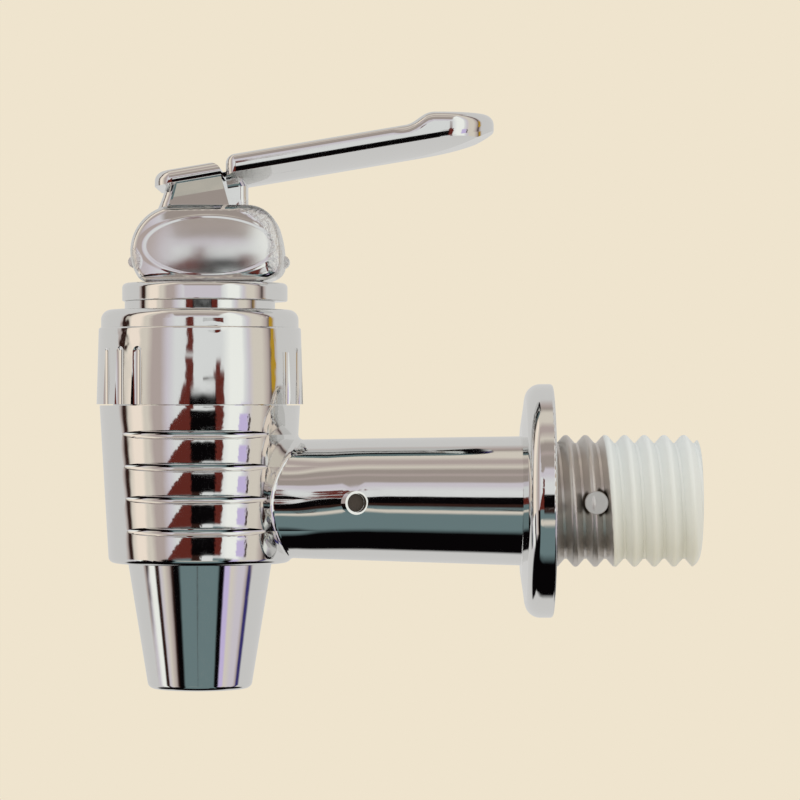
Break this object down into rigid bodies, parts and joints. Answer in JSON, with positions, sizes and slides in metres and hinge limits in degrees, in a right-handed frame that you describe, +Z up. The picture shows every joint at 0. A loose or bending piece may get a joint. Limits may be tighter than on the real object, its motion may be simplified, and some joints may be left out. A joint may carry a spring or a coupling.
{
  "type": "lever dispenser tap",
  "caption": "Chrome-plated plastic lever tap for a drink dispenser: upright valve with tapered spout, fluted bonnet, cam lever, side pipe, flange and threaded shank.",
  "frame": {"origin": "on the axis of the threaded shank, in the plane of the flange's seat face", "axes": "+X along the shank towards its free end, +Z up, away from the spout's outlet, -Y towards the front of the tap"},
  "size_m": [0.0723, 0.028, 0.0685],
  "materials": {
    "tap_body": "bright chrome plating on plastic, bare translucent white plastic on the outer part of the thread",
    "bonnet": "bright chrome plating on plastic",
    "cam_disc": "bright chrome plating on plastic",
    "lever": "bright chrome plating on plastic",
    "stem": "turned stainless steel",
    "pivot_pin": "drawn stainless steel",
    "spring_washer": "stamped stainless steel",
    "return_spring": "stainless spring wire",
    "seat_plug": "translucent silicone",
    "stem_o_ring": "black seal rubber",
    "bonnet_seal": "translucent silicone"
  },
  "bodies": {
    "valve": {"tap_body": "tap_body", "bonnet": "bonnet", "bonnet_seal": "bonnet_seal", "cam_disc": "cam_disc"},
    "plug_lift": {"seat_plug": "seat_plug", "spring_washer": "spring_washer", "return_spring": "return_spring"},
    "stem_turn": {"stem": "stem", "stem_o_ring": "stem_o_ring"},
    "handle": {"lever": "lever", "pivot_pin": "pivot_pin"}
  },
  "joints": [
    {"name": "stem_lift", "type": "slide", "parent": "valve", "child": "plug_lift", "axis": [0, 0, 1], "range_m": [0, 0.00297], "deforming": ["return_spring"]},
    {"name": "handle_swivel", "type": "hinge", "parent": "plug_lift", "child": "stem_turn", "pos_m": [-0.0423, 0, 0], "axis": [0, 0, 1], "continuous": true},
    {"name": "lever_press", "type": "hinge", "parent": "stem_turn", "child": "handle", "pos_m": [-0.0423, 0, 0.03003], "axis": [0, 1, 0], "range_deg": [0, 25], "stiffness_Nm_per_rad": 0.0462, "springref_deg": -42.11}
  ],
  "couplings": [
    {"joint": "stem_lift", "follows": "lever_press", "m_per_rad": 0.0068}
  ]
}
